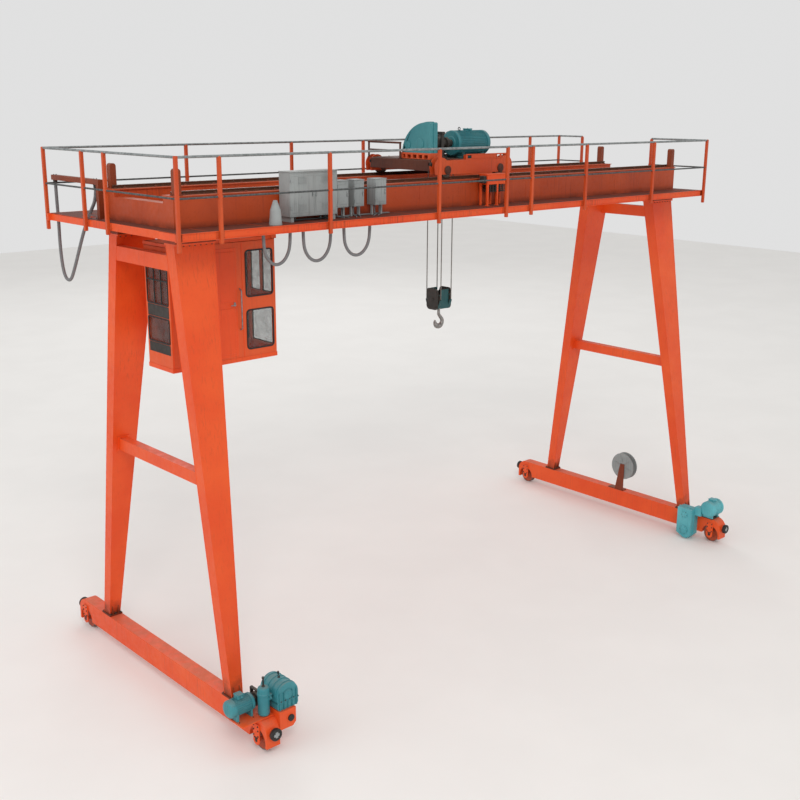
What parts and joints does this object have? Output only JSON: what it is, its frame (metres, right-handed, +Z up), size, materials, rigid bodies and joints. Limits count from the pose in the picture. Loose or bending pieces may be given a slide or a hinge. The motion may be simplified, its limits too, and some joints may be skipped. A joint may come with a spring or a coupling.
{
  "type": "gantry crane",
  "caption": "Double-girder gantry crane on travel wheels, with a trolley, hook block, operator's cab, walkways with handrails and hanging cables.",
  "frame": {"origin": "on the floor under the middle of the crane", "axes": "+X along the girders, away from the cab's portal; +Y along the ground beams, away from the cabinets' side; +Z up"},
  "size_m": [14.55, 6.73, 10.04],
  "materials": {
    "orange_paint": "satin orange-red paint, a little weathered",
    "teal_paint": "satin teal paint",
    "grey_metal": "light grey paint and galvanised pipe",
    "dark_steel": "dark, dusty and oily",
    "rail_steel": "brown rust with a worn head",
    "cast_wheel": "rusty sides and a bright tread",
    "cable_sheath": "matt black",
    "window_glass": "clear with a grey-green tint",
    "rope_steel": "greased wire rope"
  },
  "bodies": {
    "frame": {"left_ground_beam": "orange_paint", "left_near_leg": "orange_paint", "left_far_leg": "orange_paint", "left_upper_tie": "orange_paint", "left_mid_brace": "orange_paint", "left_end_beam": "orange_paint", "left_end_stops": "orange_paint", "left_end_walkway": "orange_paint", "left_handrail": "grey_metal", "left_travel_drive": "teal_paint", "right_ground_beam": "orange_paint", "right_near_leg": "orange_paint", "right_far_leg": "orange_paint", "right_upper_tie": "orange_paint", "right_mid_brace": "orange_paint", "right_end_beam": "orange_paint", "right_end_stops": "orange_paint", "right_end_walkway": "orange_paint", "right_handrail": "grey_metal", "right_travel_drive": "teal_paint", "near_girder": "orange_paint", "near_rail": "rail_steel", "near_walkway": "orange_paint", "near_handrail": "grey_metal", "far_girder": "orange_paint", "far_rail": "rail_steel", "far_walkway": "orange_paint", "far_handrail": "grey_metal", "cab_floor": "orange_paint", "cab_roof": "orange_paint", "cab_near_wall": "orange_paint", "cab_far_wall": "orange_paint", "cab_rear_wall": "orange_paint", "cab_front_wall": "orange_paint", "cab_glazing": "window_glass", "control_cabinets": "grey_metal", "horn": "grey_metal", "access_step": "orange_paint", "cable_arm": "orange_paint", "long_loop_cable": "cable_sheath", "festoon_cable_1": "cable_sheath", "festoon_cable_2": "cable_sheath", "festoon_cable_3": "cable_sheath", "reel_stand": "orange_paint"},
    "left_front_wheel": {"left_front_wheel": "cast_wheel"},
    "left_back_wheel": {"left_back_wheel": "cast_wheel"},
    "right_front_wheel": {"right_front_wheel": "cast_wheel"},
    "right_back_wheel": {"right_back_wheel": "cast_wheel"},
    "reel": {"cable_reel": "grey_metal"},
    "trolley": {"trolley_frame": "dark_steel", "rope_drum": "dark_steel", "gear_cover": "teal_paint", "hoist_motor": "teal_paint"},
    "left_axle": {"left_trolley_axle": "cast_wheel"},
    "right_axle": {"right_trolley_axle": "cast_wheel"},
    "hoist_block": {"hook_block": "dark_steel", "hoist_ropes": "rope_steel"},
    "hook": {"hook": "dark_steel"}
  },
  "joints": [
    {"name": "trolley_travel", "type": "slide", "parent": "frame", "child": "trolley", "axis": [1, 0, 0], "range_m": [-4.25, 5.5]},
    {"name": "hoist", "type": "slide", "parent": "trolley", "child": "hoist_block", "axis": [0, 0, 1], "range_m": [-5.4, 1.5], "deforming": ["hoist_ropes"]},
    {"name": "hook_swivel", "type": "hinge", "parent": "hoist_block", "child": "hook", "pos_m": [0.11, 0, 6.2], "axis": [0, 0, 1], "continuous": true},
    {"name": "left_front_wheel_turn", "type": "hinge", "parent": "frame", "child": "left_front_wheel", "pos_m": [-6.75, -2.98, 0.2], "axis": [1, 0, 0], "continuous": true},
    {"name": "left_back_wheel_turn", "type": "hinge", "parent": "frame", "child": "left_back_wheel", "pos_m": [-6.75, 2.98, 0.2], "axis": [1, 0, 0], "continuous": true},
    {"name": "right_front_wheel_turn", "type": "hinge", "parent": "frame", "child": "right_front_wheel", "pos_m": [6.75, -2.98, 0.2], "axis": [1, 0, 0], "continuous": true},
    {"name": "right_back_wheel_turn", "type": "hinge", "parent": "frame", "child": "right_back_wheel", "pos_m": [6.75, 2.98, 0.2], "axis": [1, 0, 0], "continuous": true},
    {"name": "reel_turn", "type": "hinge", "parent": "frame", "child": "reel", "pos_m": [6.75, -0.26, 1.26], "axis": [1, 0, 0], "continuous": true},
    {"name": "left_axle_turn", "type": "hinge", "parent": "trolley", "child": "left_axle", "pos_m": [-0.7, 0, 9.1253], "axis": [0, 1, 0], "range_deg": [-3000, 3000]},
    {"name": "right_axle_turn", "type": "hinge", "parent": "trolley", "child": "right_axle", "pos_m": [0.8, 0, 9.1253], "axis": [0, 1, 0], "range_deg": [-3000, 3000]}
  ],
  "couplings": [
    {"joint": "left_axle_turn", "follows": "trolley_travel", "rad_per_m": 8},
    {"joint": "right_axle_turn", "follows": "trolley_travel", "rad_per_m": 8}
  ]
}
